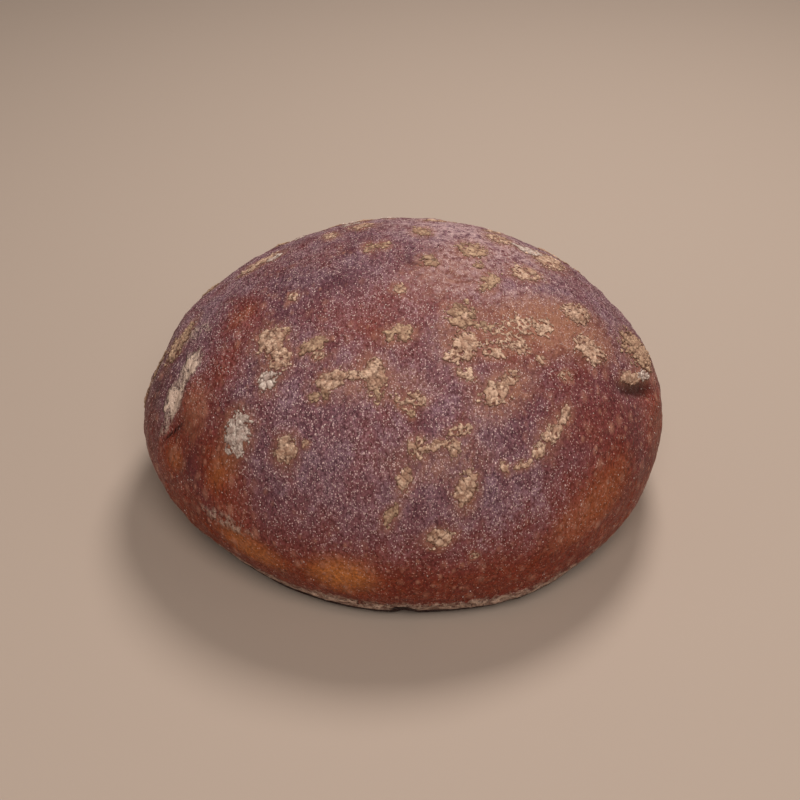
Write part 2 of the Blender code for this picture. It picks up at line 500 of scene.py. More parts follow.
        # they show where there is little dust, in some of the cells only
        bare = add_node(tree, "MapRange", {"From Min": 0.8, "From Max": 0.2}, {"Value": dust}).outputs[0]
        total = None
        for size, strength in ((self.blister_mm, self.blister_strength), (self.bead_mm, self.bead_strength)):
            cells = add_node(tree, "TexVoronoi", {"Scale": per_mm(size)}, {"Vector": place})
            chances = add_node(tree, "SeparateColor", {}, {0: cells.outputs["Color"]})
            span = {"From Min": self.blister_rim, "From Max": self.blister_top, "To Max": strength}
            spot = add_node(tree, "MapRange", span, {"Value": cells.outputs["Distance"]}).outputs[0]
            span = {"From Min": 0.40, "From Max": 0.85}
            there = add_node(tree, "MapRange", span, {"Value": chances.outputs[0]}).outputs[0]
            for factor in (there, bare):
                spot = add_node(tree, "Math", TIMES, {0: spot, 1: factor}).outputs[0]
            if total is not None:
                spot = add_node(tree, "Math", LARGER, {0: total, 1: spot}).outputs[0]
            total = spot
        return total


@dataclass(frozen=True)
class DriedFlour:
    """Flour and water that dried on the crust in the oven.

    It is quite matt, pale on the tops of its crumbs and darker in the pits, which is painted shade, and tan
    where it toasted.
    """

    name: str
    light: str
    dark: str
    # the darkest colour of the painted shade in the pits
    crumb: str
    roughness: float = 0.92
    specular: float = 0.25
    slow_mm: float = 4.5
    crumb_mm: float = 0.75
    crumb_share: float = 1.3
    relief_mm: float = 0.25
    toast_from: float = 0.45
    toast_full: float = 1.3
    pit_top: float = 1.42
    pit_floor: float = 0.72

    def build(self) -> bpy.types.Material:
        """Makes the material.

        Returns:
            A matt material with a fine crumb.
        """
        material = bpy.data.materials.new(self.name)
        material.use_nodes = True
        tree = material.node_tree
        shader = tree.nodes["Principled BSDF"]
        shader.inputs["Roughness"].default_value = self.roughness
        shader.inputs["Specular IOR Level"].default_value = self.specular
        place = add_node(tree, "TexCoord", {}, {}).outputs["Object"]
        look = {"Scale": per_mm(self.slow_mm), "Detail": 3.0, "Roughness": 0.6}
        slow = add_node(tree, "TexNoise", look, {"Vector": place}).outputs[0]
        look = {"Scale": per_mm(self.crumb_mm), "Detail": 3.0, "Roughness": 0.7}
        crumb = add_node(tree, "TexNoise", look, {"Vector": place}).outputs[0]
        tone = add_node(tree, "Attribute", {"attribute_name": "tone"}, {}).outputs["Fac"]
        toast = add_node(tree, "Math", {"operation": "ADD"}, {0: slow, 1: tone}).outputs[0]
        span = {"From Min": self.toast_from, "From Max": self.toast_full}
        toast = add_node(tree, "MapRange", span, {"Value": toast}).outputs[0]
        ends = {"data_type": "RGBA", 6: linear(self.light), 7: linear(self.dark)}
        colour = add_node(tree, "Mix", ends, {0: toast}).outputs[2]
        lift = add_node(tree, "Attribute", {"attribute_name": "lift"}, {}).outputs["Fac"]
        scaled = {"operation": "MULTIPLY_ADD", 1: self.crumb_share}
        height = add_node(tree, "Math", scaled, {0: crumb, 2: lift}).outputs[0]
        # painted shade: the lower the flour stands, in its pits and cracks, the darker
        span = {"From Min": self.pit_top, "From Max": self.pit_floor}
        pits = add_node(tree, "MapRange", span, {"Value": height}).outputs[0]
        settings = {"data_type": "RGBA", 7: linear(self.crumb)}
        colour = add_node(tree, "Mix", settings, {0: pits, 6: colour}).outputs[2]
        tree.links.new(colour, shader.inputs["Base Color"])
        bump = add_node(tree, "Bump", {"Strength": 1.0, "Distance": self.relief_mm * MM}, {"Height": crumb})
        tree.links.new(bump.outputs[0], shader.inputs["Normal"])
        return material


@dataclass(frozen=True)
class Cake(Spot):
    """One cake of dried flour.

    cell and stretch set the size and length of its plates, whole is how much of it is left, thick its
    thickness, and cracked how deep the cracks between its plates go.
    """

    cell: float = 1.3
    whole: float = 0.85
    thick: float = 0.4
    tone: FlourTone = TAN
    stretch: float = 1.0
    cracked: float = 0.55


@dataclass
class Crust:
    """The loaf's crust: a finer copy of the solid, pebbled all over, with its seam and ledge cut sharper."""

    node: str = "loaf"
    levels: int = 2
    foot_rings: int = 5
    pebble_mm: float = 9.0
    pebble_height_mm: float = 1.5
    grit_mm: float = 3.2
    grit_height_mm: float = 0.7
    depth: int = 2
    sunk: float = 0.78
    notch_mm: float = 0.9
    dent_mm: float = 0.4
    notch_width_mm: float = 3.0
    notch_fade_mm: float = 5.0
    dent_fade_mm: float = 9.0
    notch_from_mm: float = 70.0
    notch_reach_mm: float = 20.0
    weld_mm: float = 0.01
    quad_degrees: float = 60.0
    foot_top_mm: float = 0.05
    first_ring: float = 0.97
    crease_bow: float = 0.35
    crease_reach_mm: float = 20.0
    still_mm: float = 0.6
    still_reach_mm: float = 6.0
    low_top_mm: float = 62.0
    low_reach_mm: float = 30.0
    low_warm: float = 0.78
    foot_flour: float = 0.72
    foot_flour_mm: float = 10.0
    foot_fade_mm: float = 6.5
    front_mm: float = 60.0
    # how high the painted shadow line along the foot reaches, and how much higher in front
    foot_shadow_mm: float = 2.0
    foot_shadow_front_mm: float = 4.7
    crown_mm: float = 85.0
    crown_reach_mm: float = 30.0
    crown_wear: float = 0.2
    low_wear: float = 0.9
    warm_wear: float = 0.5
    film_wear: float = 0.35
    least_dust: float = 0.04
    most: float = 1.5
    patch_reach_mm: float = 30.0
    patch_fade: float = 0.7
    patch_edge: float = 1.3
    powder: float = 0.75
    powder_reach: float = 1.7
    creases: tuple[Patch, ...] = (
        Patch("left seam, upper", -70.4, 22.8, 22, 4.5, -43, 1.2),
        Patch("left seam, lower", -67, 15.2, 18, 4.5, -61, 1.3),
        Patch("edge of the flap", -61.5, 11.5, 19, 3.0, -121, 1.3),
        Patch("hollow under the right ledge", 69.5, 16.9, 32, 7, -33, 2.0),
        Patch("short crack high on the right", 74, 35.6, 11, 3.5, -43, 0.8),
        Patch("wrinkle on the crown, first", 82.6, 88.8, 15, 4.2, -124, 1.0),
        Patch("wrinkle on the crown, second", 40.8, 85.2, 14, 4.0, -64, 1.0),
        Patch("wrinkle on the crown, third", 55.9, 73.3, 15, 3.8, -100, 0.9),
        Patch("wrinkle on the crown, fourth", 60.8, 67.5, 13, 3.8, -8, 0.9),
        Patch("wrinkle left of the crown", -69.4, 63.3, 24, 2.2, 60, 1.0),
        Patch("pits in the film", 47.4, 44.6, 13, 3.0, -30, 0.7),
    )
    # painted shade: creases, the recess under the right ledge, the notch in the foot and the inside of the
    # flap, darkened where shadow falls
    hollows: tuple[Patch, ...] = (
        Patch("edge of the flap", -61.5, 11.2, 17, 2.0, -121, 0.95),
        Patch("right of the upper seam", -66.5, 21, 16, 2.2, -43, 0.45),
        Patch("under the right ledge", 71.5, 16.2, 36, 9, -33, 0.66),
        Patch("beside the right ledge", 88, 14, 16, 8, -60, 0.7),
        Patch("short crack high on the right", 74, 35.2, 10, 2.0, -43, 0.6),
        Patch("notch in the foot", 0.0, -17, 9, 7.5, 0, 1.9),
        Patch("wrinkle on the crown, first", 82.6, 88.8, 14, 3.8, -124, 0.5),
        Patch("wrinkle on the crown, second", 40.8, 85.2, 13, 3.4, -64, 0.5),
        Patch("wrinkle on the crown, third", 55.9, 73.3, 14, 3.0, -100, 0.45),
        Patch("wrinkle on the crown, fourth", 60.8, 67.5, 12, 3.2, -8, 0.45),
        Patch("pits in the film", 47.4, 44.6, 11, 2.4, -30, 0.5),
        Patch("inside the flap", -76, 13, 22, 10, -55, 0.35),
    )
    bare: tuple[Patch, ...] = (
        Patch("right side", 54, 15, 92, 68, -55, 0.80),
        Patch("far right", 80, 8, 70, 70, 0, 0.62),
        Patch("right of the strip", 46, 26, 30, 24, -30, 0.45),
        Patch("upper left", -66, 44, 80, 42, -60, 0.6),
        Patch("left cheek", -50, 28, 50, 26, -60, 0.48),
        Patch("low left", -49, 9, 66, 56, -60, 0.88),
        Patch("right shoulder", 48, 44, 46, 20, 0, 0.5),
        Patch("low front", -14, 2, 70, 26, 0, 0.35),
        Patch("upper middle", -22, 57, 46, 26, 0, 0.4),
        Patch("flap", -76, 13, 40, 24, -60, 0.65),
        Patch("dark left of the crown", -67, 64.3, 46, 22, 47, 0.5),
        Patch("dark behind the crown", -106, 71.5, 10, 8, 0, 0.7),
        Patch("wrinkles of the crown", 50, 86, 15, 10, -64, 0.7),
    )
    warm: tuple[Patch, ...] = (
        Patch("bulge right of the seam", -58, 18, 36, 26, -67, 0.75),
        Patch("below the flap", -60, 6, 30, 20, -110, 1.0),
        Patch("upper left", -72, 40, 26, 20, 0, 0.65),
        Patch("between the left cakes", -58, 30, 26, 16, -60, 0.6),
        Patch("low left", -40, 8, 60, 26, -45, 0.8),
        Patch("low right", 42, 5, 66, 36, 17, 0.9),
        Patch("far right", 74, 6, 50, 44, 0, 0.8),
        Patch("right side", 52, 16, 66, 50, -55, 0.45),
        Patch("upper middle", -22, 57, 46, 26, 0, 0.5),
        Patch("reddish crown", 10, 68, 80, 34, 20, 0.45),
        Patch("right shoulder", 48, 44, 50, 24, 0, 0.5),
    )
    amber: tuple[Patch, ...] = (
        Patch("front", -12.5, -3.5, 24, 18, 0, 1.0),
        Patch("low left edge", -33, -3, 30, 14, -11, 0.75),
        Patch("low left", -42, 12, 20, 12, 67, 0.45),
        Patch("upper left", -73, 40, 18, 9, 105, 0.28),
        Patch("low right", 41, 4.4, 50, 20, 17, 0.38),
        Patch("bulge", -57.2, 18, 30, 14, -50, 0.22),
        Patch("foot of the bulge", -57, 7, 14, 10, 0, 0.4),
    )
    film: tuple[Patch, ...] = (
        Patch("right shoulder", 63, 42.5, 60, 32, -37, 0.95),
        Patch("right upper cakes", 68, 33, 34, 24, -35, 0.85),
        Patch("left cakes", -46, 39, 34, 20, -50, 0.6),
        Patch("middle cakes", -10, 39, 50, 20, 0, 0.6),
        Patch("left solid cake", -30, 42, 22, 14, 30, 0.35),
        Patch("right middle", 29, 34, 34, 20, 20, 0.8),
        Patch("right strip", 36, 22, 34, 14, -150, 0.55),
        Patch("front cakes", 8, 22, 46, 20, 0, 0.55),
        Patch("long ochre cakes", -1, 15, 30, 10, -110, 0.35),
        Patch("high right cakes", 28, 52, 36, 26, 40, 0.75),
        Patch("crown", 60, 74, 50, 36, 0, 0.5),
        Patch("bulge right of the seam", -57.5, 19, 30, 18, -55, 0.5),
    )
    # where the crown's pale streaks lie: dust, brightened as a painted sheen
    frost_and_sheen: tuple[Patch, ...] = (
        Patch("right of the crown", 72, 72, 44, 40, 0, 1.0),
        Patch("under it", 67, 52, 44, 18, -45, 0.9),
        Patch("crown", 30, 76, 44, 30, 0, 0.6),
        Patch("behind the crown", 140, 58, 100, 60, 0, 1.2),
        Patch("front of the crown", -20, 62, 60, 24, 0, 0.35),
        Patch("left of the crown", -95, 62, 60, 30, 0, 0.45),
        Patch("beside the grey cake", -36, 16, 16, 9, 0, 0.5),
        Patch("middle", 18, 27, 60, 16, 0, 0.35),
    )
    chalk: tuple[Patch, ...] = (
        Patch("flour in the seam, upper", -70.6, 23.4, 15, 13, -43, 1.15),
        Patch("flour in the seam, lower", -67.3, 15.8, 16, 12, -61, 1.35),
        Patch("flour at the seam's foot", -65.0, 11, 14, 7, -95, 0.6),
        Patch("left shoulder", -84, 25, 36, 14, -122, 0.5),
        Patch("low left streak", -39, 1.3, 32, 9, -1, 0.55),
        Patch("far left edge", -86, 12, 30, 12, -80, 0.5),
    )

    def build(self, cakes: list[Cake]) -> bpy.types.Object:
        """Makes the crust's mesh and its attributes.

        Args:
            cakes: The cakes of flour that will lie on it, each with powder round it.

        Returns:
            The crust object.
        """
        thing = self.finer_copy()
        skin = Skin(thing)
        self.crease(thing, skin)
        self.notch(thing)
        self.pebble(thing)
        self.paint(thing, skin, cakes)
        thing.data.materials.append(BakedCrust().build())
        return thing

    def finer_copy(self) -> bpy.types.Object:
        """Copies the solid, closes its foot with rings and subdivides it.

        Returns:
            The copy, smooth and closed.
        """
        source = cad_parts[self.node]
        pick(source)
        bpy.ops.object.duplicate()
        thing = bpy.context.view_layer.objects.active
        thing.name = "crust"
        thing.parent = None
        thing.data.materials.clear()
        bpy.ops.object.mode_set(mode="EDIT")
        bpy.ops.mesh.select_all(action="SELECT")
        bpy.ops.mesh.remove_doubles(threshold=self.weld_mm * MM)
        limit = math.radians(self.quad_degrees)
        bpy.ops.mesh.tris_convert_to_quads(face_threshold=limit, shape_threshold=limit)
        bpy.ops.mesh.select_all(action="DESELECT")
        bpy.ops.mesh.select_mode(type="FACE")
        bm = bmesh.from_edit_mesh(thing.data)
        for face in bm.faces:
            face.select_set(all(v.co.z < self.foot_top_mm * MM for v in face.verts))
        bmesh.update_edit_mesh(thing.data)
        bpy.ops.mesh.delete(type="ONLY_FACE")
        bpy.ops.mesh.select_mode(type="EDGE")
        bpy.ops.mesh.select_non_manifold(extend=False)
        for ring in range(self.foot_rings, 0, -1):
            bpy.ops.mesh.extrude_edges_move()
            share = self.first_ring if ring == self.foot_rings else (ring - 0.5) / (ring + 0.5)
            bpy.ops.transform.resize(value=(share, share, 1), center_override=(0, 0, 0))
        bpy.ops.mesh.merge(type="CENTER")
        bpy.ops.mesh.select_all(action="SELECT")
        bpy.ops.mesh.normals_make_consistent(inside=False)
        bpy.ops.object.mode_set(mode="OBJECT")
        bpy.ops.object.modifier_add(type="SUBSURF")
        modifier = thing.modifiers[-1]
        modifier.levels = modifier.render_levels = self.levels
        bpy.ops.object.modifier_apply(modifier=modifier.name)
        bpy.ops.object.shade_smooth()
        return thing

    def crease(self, thing: bpy.types.Object, skin: Skin) -> None:
        """Presses the creases into the crust.

        Args:
            thing: The crust object.
            skin: Its surface before.
        """
        mesh = thing.data
        points = np.zeros(len(mesh.vertices) * 3)
        mesh.vertices.foreach_get("co", points)
        points = points.reshape(-1, 3)
        for crease in self.creases:
            middle, along, across, out = (np.array(v) for v in skin.axes(crease.place, crease.turn))
            offset = points - middle
            a = offset @ along / (crease.length * MM / 2)
            b = offset @ across / (crease.width * MM / 2) - self.crease_bow * (a * a)
            c = offset @ out / (self.crease_reach_mm * MM)
            points -= np.outer(np.exp(-(a**4) - b * b - c * c) * crease.amount * MM, out)
        mesh.vertices.foreach_set("co", points.ravel())
        mesh.update()

    def notch(self, thing: bpy.types.Object) -> None:
        """Arches the foot up and presses it in at its notch in front, and less and less behind it.

        Args:
            thing: The crust object.
        """
        for vertex in thing.data.vertices:
            x, y, z = (c / MM for c in vertex.co)
            if y < 0:
                forward = min(max((-y - self.notch_from_mm) / self.notch_reach_mm, 0), 1)
                share = math.exp(-((x / self.notch_width_mm) ** 2)) * forward
                vertex.co.z += self.notch_mm * share * math.exp(-z / self.notch_fade_mm) * MM
                vertex.co.y += self.dent_mm * share * math.exp(-((z / self.dent_fade_mm) ** 2)) * MM

    def pebble(self, thing: bpy.types.Object) -> None:
        """Pushes the crust in and out by fine clouds, except at its foot.

        Args:
            thing: The crust object.
        """
        above = "above the foot"
        group = thing.vertex_groups.new(name=above)
        for v in thing.data.vertices:
            share = (v.co.z - self.still_mm * MM) / (self.still_reach_mm * MM)
            group.add([v.index], min(max(share, 0.0), 1.0), "REPLACE")
        pick(thing)
        for name, size, height in (
            ("pebbles", self.pebble_mm, self.pebble_height_mm),
            ("grit", self.grit_mm, self.grit_height_mm),
        ):
            clouds = bpy.data.textures.new(name, "CLOUDS")
            clouds.noise_scale = size * MM
            clouds.noise_depth = self.depth
            bpy.ops.object.modifier_add(type="DISPLACE")
            modifier = thing.modifiers[-1]
            modifier.texture = clouds
            modifier.texture_coords = "LOCAL"
            modifier.strength = height * MM
            modifier.mid_level = self.sunk
            modifier.vertex_group = above
            bpy.ops.object.modifier_apply(modifier=modifier.name)

    def paint(self, thing: bpy.types.Object, skin: Skin, cakes: list[Cake]) -> None:
        """Writes the attributes that the crust's finish reads.

        Args:
            thing: The crust object.
            skin: Its surface before the pebbles.
            cakes: The cakes of flour.
        """
        mesh = thing.data
        points = np.zeros(len(mesh.vertices) * 3, np.float32)
        mesh.vertices.foreach_get("co", points)
        points = points.reshape(-1, 3)
        height = points[:, 2] / MM
        low = np.clip((self.low_top_mm - height) / self.low_reach_mm, 0, 1)
        over = np.maximum(height - self.foot_flour_mm, 0) / self.foot_fade_mm
        foot = self.foot_flour * np.exp(-(over**2))
        front = np.clip(-points[:, 1] / (self.front_mm * MM), 0, 1)
        # painted shadow: the lowest few mm of the foot, more in front, dark as the shaded crack under it
        foot_shadow = np.clip(self.foot_shadow_mm + self.foot_shadow_front_mm * front - height, 0, 1)
        bare = self.patches(points, skin, self.bare)
        warm = self.patches(points, skin, self.warm)
        wide = self.powder_reach
        powder = tuple(
            Patch(c.name, c.azimuth, c.pitch, c.length * wide, c.width * wide, c.turn, self.powder)
            for c in cakes
        )
        layers = {
            "warm": np.maximum(self.low_warm * low, warm),
            "amber": self.patches(points, skin, self.amber),
            "film": self.patches(points, skin, self.film + powder),
            "frost_and_sheen": self.patches(points, skin, self.frost_and_sheen),
            "chalk": np.maximum(foot, self.patches(points, skin, self.chalk)),
            # painted shade along the foot and in the listed recesses
            "hollow": np.maximum(foot_shadow, self.patches(points, skin, self.hollows)),
        }
        crown = np.clip((height - self.crown_mm) / self.crown_reach_mm, 0, 1)
        worn = (1 - bare) * (1 - self.warm_wear * warm) * (1 - self.film_wear * layers["film"])
        layers["dust"] = (1 - self.crown_wear * crown - self.low_wear * low) * worn + self.least_dust
        for name, values in layers.items():
            attribute = mesh.attributes.new(name, "FLOAT", "POINT")
            attribute.data.foreach_set("value", np.clip(values, 0, self.most).astype(np.float32))

    def patches(self, points: np.ndarray, skin: Skin, patches: tuple[Patch, ...]) -> np.ndarray:
        """How much of the strongest patch there is at each point.

        Args:
            points: The points.
            skin: The surface that the patches lie on.
            patches: The patches.

        Returns:
            One amount for each point.
        """
        total = np.zeros(len(points))
        for patch in patches:
            middle, along, across, out = skin.axes(patch.place, patch.turn)
            offset = points - np.array(middle)
            a = offset @ np.array(along) / (patch.length * MM / 2)
            b = offset @ np.array(across) / (patch.width * MM / 2)
            c = offset @ np.array(out) / (self.patch_reach_mm * MM)
            faded = np.exp(-((a * a + b * b) ** self.patch_edge) * self.patch_fade - c * c)
            total = np.maximum(total, patch.amount * faded)
        return total


@dataclass
class FlourCakes:
    """The cakes of dried flour, each cracked into small islands that sit on the crust."""

    seed: int = 11
    grid_mm: float = 0.37
    far_grid_mm: float = 0.65
    crack_mm: float = 0.6
    lump_mm: float = 1.25
    sunk_mm: float = 0.3
    spacing: float = 2.0
    swell: float = 1.25
    lift: float = 1.6
    margin: float = 1.8
    buried_mm: float = 0.06
    body_mm: float = 0.5
    edge_mm: float = 2.9
    fringe_mm: float = 1.0
    fringe: float = 0.6
    stray_edge: float = -0.8
    stray: float = 0.12
    least_whole: float = 0.45
    crumb_mm: float = 0.75
    wave_mm: float = 2.2
    crumb: float = 0.5
    wave: float = 0.35
    uneven: float = 0.2
    lump_gap: float = 0.45
    lump_depth: float = 0.6
    rim: float = 0.35
    rim_height: float = 0.3
    front: tuple[Cake, ...] = (
        Cake("left, highest", -51.5, 41, 13, 11, -26, 1.5, 1.0, 0.4),
        Cake("left, under it", -43, 38.5, 10, 9, -60, 1.4, 0.9, 0.35),
        Cake("left, third", -41.5, 33, 9, 8, -50, 1.5, 0.9, 0.4, PALE, 1.0, 0.85),
        Cake("small, above left", -50, 45.5, 4, 3, 20, 1.0, 0.8, 0.4, OCHRE),
        Cake("smooth, rising", -36, 45, 11, 5.5, 62, 1.8, 1.0, 0.45, OCHRE, 1.0, 0.2),
        Cake("cracked, beside it", -31, 43, 5, 4, 40, 1.0, 0.8),
        Cake("left of the middle", -22.5, 38, 12, 7, 31, 1.3, 0.95),
        Cake("ochre chip", -25.5, 33, 5, 4, 0, 1.3, 0.9, 0.3, OCHRE),
        Cake("grey parallelogram", -41.5, 20, 15.5, 11, -70, 2.6, 1.0, 0.34, PALE, 1.0, 0.4),
        Cake("solid, left front", -27.7, 20.8, 10, 8, 108, 3.0, 1.0, 0.6, TAN, 1.0, 0.3),
        Cake("chip beside it", -23.5, 23, 3, 3, 0, 1.0, 0.8),
        Cake("bits in the middle", -16.5, 40, 5, 4, 0, 1.0, 0.55),
        Cake("middle", -9.5, 41, 14, 9, -68, 1.5, 0.95, 0.45),
        Cake("under the middle", -7.5, 36, 6, 4.5, -80, 1.2, 0.6, 0.3, OCHRE),
        Cake("high middle", -2.5, 53.5, 10.5, 7, 12, 1.2, 0.85, 0.4, OCHRE),
        Cake("right of the middle", 3.6, 35, 7, 5, 0, 1.2, 0.8),
        Cake("yellow chip", 2, 32, 3.5, 2.8, 60, 1.4, 0.9, 0.3, OCHRE),
        Cake("front chunks", 3.2, 24.5, 8, 7, 20, 1.7, 0.75, 0.5),
        Cake("front chunks, right", 8, 25, 6.5, 4, 10, 1.4, 0.85),
        Cake("front, beside", 11.5, 24, 6.5, 5, 70, 1.5, 0.85),
        Cake("front bits", 14, 27.5, 9, 4, 10, 1.1, 0.6),
        Cake("long ochre, top", 0, 18.5, 9.5, 4.8, -105, 1.5, 1.0, 0.4),
        Cake("long ochre, foot", -2.7, 11.5, 9, 4, -118, 1.4, 1.0, 0.35, OCHRE),
        Cake("low, cracked", 13, 15.8, 13, 7.5, -110, 1.5, 1.0, 0.5, TAN, 1.0, 0.6),
        Cake("low, pinkish", 6.8, 7, 9, 6.6, 10, 1.6, 1.0, 0.45, TAN, 1.0, 0.6),
        Cake("lowest bit", 13.5, 2.5, 3, 2.6, 0, 1.0, 0.7),
        Cake("right of middle, large", 26.5, 34, 12, 8.5, 22, 1.6, 0.85, 0.45),
        Cake("behind it", 33, 36, 9, 5.5, 20, 1.3, 0.75),
        Cake("strip, top", 42, 24, 8, 5, -150, 1.3, 0.85),
        Cake("strip, middle", 36.5, 22, 9, 5.5, -155, 1.4, 0.9, 0.45),
        Cake("strip, foot", 31.5, 19.8, 6.5, 4.5, -150, 1.3, 0.85),
        Cake("under the strip", 26.5, 18, 8, 3, 5, 1.2, 0.75),
        Cake("under the strip, left", 22.3, 18.5, 4.5, 3.2, -80, 1.2, 0.75),
        Cake("high right, ochre", 31.5, 57, 12.5, 11, 58, 1.6, 0.9, 0.4, OCHRE, 1.0, 0.6),
        Cake("bright lump", 31.6, 56.3, 3.6, 3.0, 58, 3.4, 1.0, 0.8, TAN),
        Cake("high right, under it", 24, 47.5, 14, 8, 60, 1.6, 0.85, 0.45),
        Cake("high right, left bit", 17.5, 45.5, 6, 5, 0, 1.4, 0.8),
        Cake("right shoulder bits", 46, 46, 22, 12, 0, 1.2, 0.22, 0.3),
        Cake("right shoulder", 58, 43, 10, 8, 0, 1.3, 0.45, 0.35),
        Cake("far right, upper", 77, 38, 14, 10, -43, 1.2, 0.85, 0.4),
        Cake("far right, brightest", 65, 31.5, 14, 10, -70, 1.3, 0.9, 0.5),
        Cake("far right, small", 50, 31, 5, 4, 0, 1.1, 0.7),
        Cake("far right, small, upper", 47, 37, 5, 4, 0, 1.1, 0.6),
        Cake("right ledge", 85.5, 18.4, 25, 16, -36, 1.7, 1.0, 0.6, OCHRE, 1.4, 0.8),
        Cake("lip of the ledge", 70.5, 19.4, 13, 5, -33, 1.8, 1.0, 0.6, TAN, 1.0, 0.4),
        Cake("bits on the lip", 76.5, 16.5, 13, 4, -33, 1.2, 0.8, 0.5, PALE, 1.0, 0.8),
        Cake("crown, back", 163, 69.7, 10, 7, -75, 1.4, 0.85, 0.35, OCHRE),
        Cake("crown", 72, 81.5, 8, 7.5, -62, 1.6, 0.9, 0.35, OCHRE),
        Cake("crown, right", 109, 67.5, 13, 11, -23, 1.5, 0.75, 0.35, OCHRE),
        Cake("right, behind", 127, 52, 13, 11, -45, 1.4, 0.5, 0.35),
        Cake("right, behind, lower", 90, 52.6, 13, 10, -60, 1.8, 0.8, 0.4),
        Cake("crown, front right", 68, 62.1, 13, 6, 20, 1.8, 0.9, 0.35, OCHRE),
        Cake("crown, small", 83.7, 66.7, 5, 4.3, 4, 1.4, 0.8, 0.4, OCHRE),
        Cake("behind the edge", 112, 41, 18, 13, -57, 1.6, 0.75, 0.4),
        Cake("crown, front", -4, 71.3, 6, 5, 90, 1.3, 0.75, 0.35),
        Cake("crown, left", -120.5, 77, 8, 4.5, -147, 1.2, 0.7, 0.3, OCHRE),
        Cake("crown, left, second", -138, 80.4, 7.5, 4.3, -130, 1.2, 0.7, 0.3, OCHRE),
        Cake("left shoulder, faint", -66.4, 53.4, 5.3, 4, 158, 1.2, 0.7, 0.3),
        Cake("left of the crown, faint", -135.5, 56.2, 10, 6, -129, 1.2, 0.5, 0.25),
        Cake("crown, back left", -156, 57, 11, 9, -110, 1.3, 0.75, 0.35),
        Cake("left edge", -85, 21, 18, 9, -50, 1.7, 0.85, 0.5, OCHRE),
        Cake("left edge, middle", -88, 13, 14, 6, -70, 1.6, 0.7, 0.5, OCHRE),
        Cake("left edge, lower", -86, 6, 14, 5, -75, 1.5, 0.7, 0.45),
        Cake("between the strands", -0.6, 34.3, 8, 4.5, -33, 1.1, 0.5, 0.3),
        Cake("tail of the left strand", -23, 34.5, 6, 3, -60, 1.2, 0.8, 0.3, OCHRE),
        Cake("beside the high right", 33, 44, 10, 7, -50, 1.2, 0.5, 0.35),
        Cake("beside the high right, far", 42.7, 42.1, 9, 6, -43, 1.3, 0.55, 0.35),
        Cake("film bits, upper", 38, 51, 9, 5, -43, 1.1, 0.45, 0.3, OCHRE),
        Cake("film bits, lower", 20, 40, 8, 5, -48, 1.1, 0.45, 0.3),
    )
    back_count: int = 34
    back_azimuth: tuple[float, float] = (118, 255)
    back_pitch: tuple[float, float, float] = (4, 60, 32)
    back_length: tuple[float, float, float] = (4, 15, 8)
    back_width: tuple[float, float] = (0.5, 0.9)
    back_cell: tuple[float, float] = (1.0, 1.8)
    back_whole: tuple[float, float] = (0.6, 0.95)
    back_thick: tuple[float, float] = (0.3, 0.5)

    def cakes(self) -> list[Cake]:
        """All the cakes: those of the side that is seen, and half as many by chance on the far side.

        Returns:
            The cakes.
        """
        dice = random.Random(self.seed)
        cakes = list(self.front)
        for number in range(self.back_count):
            azimuth = dice.uniform(*self.back_azimuth)
            pitch = dice.triangular(*self.back_pitch)
            length = dice.triangular(*self.back_length)
            tone = dice.choice(list(FlourTone))
            width = length * dice.uniform(*self.back_width)
            turn = dice.uniform(-90, 90)
            cell = dice.uniform(*self.back_cell)
            whole = dice.uniform(*self.back_whole)
            thick = dice.uniform(*self.back_thick)
            name = f"far side {number}"
            cakes.append(Cake(name, azimuth, pitch, length, width, turn, cell, whole, thick, tone))
        return cakes

    def build(self, skin: Skin, cakes: list[Cake]) -> list[bpy.types.Object]:
        """Makes one object for each tone of flour.

        Args:
            skin: The crust that they lie on.
            cakes: The cakes.

        Returns:
            The objects.
        """
        finishes = {
            # the third colour of each is the painted shade in the pits
            TAN: DriedFlour("toasted dried flour", "#eac2a4", "#b0856c", "#553122"),
            OCHRE: DriedFlour("ochre dried flour", "#d2ab8a", "#a07860", "#503122"),
            PALE: DriedFlour("pale dried flour", "#efd8c6", "#bfa192", "#634539"),
        }
        things = []
        for tone, finish in finishes.items():
            chosen = [(cake, number) for number, cake in enumerate(cakes) if cake.tone is tone]
            shaped = [self.shape(cake, number, skin) for cake, number in chosen]
            deselect()
            for piece in shaped:
                piece.select_set(True)
            bpy.context.view_layer.objects.active = shaped[0]
            bpy.ops.object.join()
            thing = bpy.context.view_layer.objects.active
            thing.name = f"flour_cakes_{tone.value}"
            thing.data.materials.append(finish.build())
            self.close(thing)
            things.append(thing)
        return things

